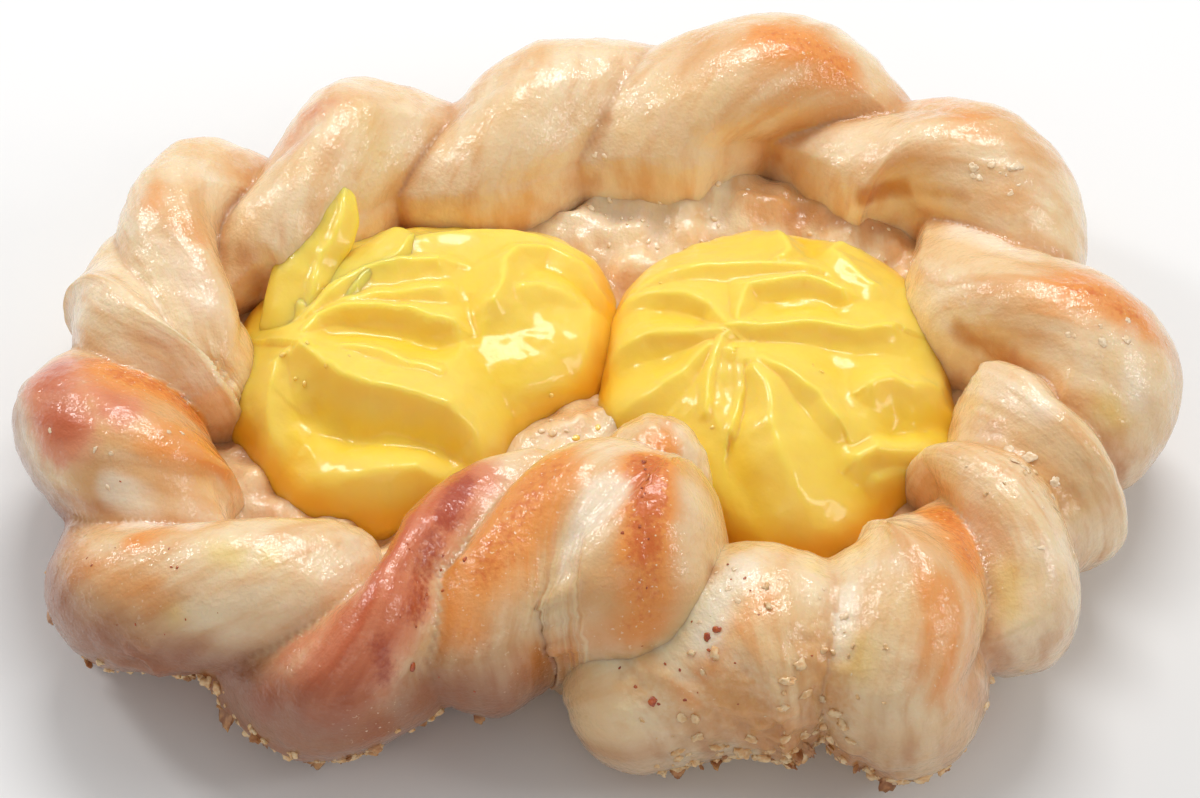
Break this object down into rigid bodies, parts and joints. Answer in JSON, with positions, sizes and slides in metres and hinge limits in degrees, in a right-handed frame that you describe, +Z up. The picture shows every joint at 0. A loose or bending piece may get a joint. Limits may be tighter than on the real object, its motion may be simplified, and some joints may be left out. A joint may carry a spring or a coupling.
{
  "type": "danish pastry",
  "caption": "Oval danish pastry: a twisted rope of glazed dough laid in a ring, with the ring's dough floor holding yellow custard piped as rosettes.",
  "frame": {"origin": "middle of the pastry's footprint, on the plane that it rests on", "axes": "+X along the oval's length with the right rosette at +X, +Y away from the rope's crossed ends, +Z up"},
  "size_m": [0.1352, 0.107, 0.0302],
  "materials": {
    "dough": "baked dough, pale with browned patches, under a thin wet sugar glaze",
    "custard": "smooth wet custard"
  },
  "bodies": {
    "root": {"dough": "dough", "custard_left": "custard", "custard_right": "custard"}
  },
  "joints": []
}
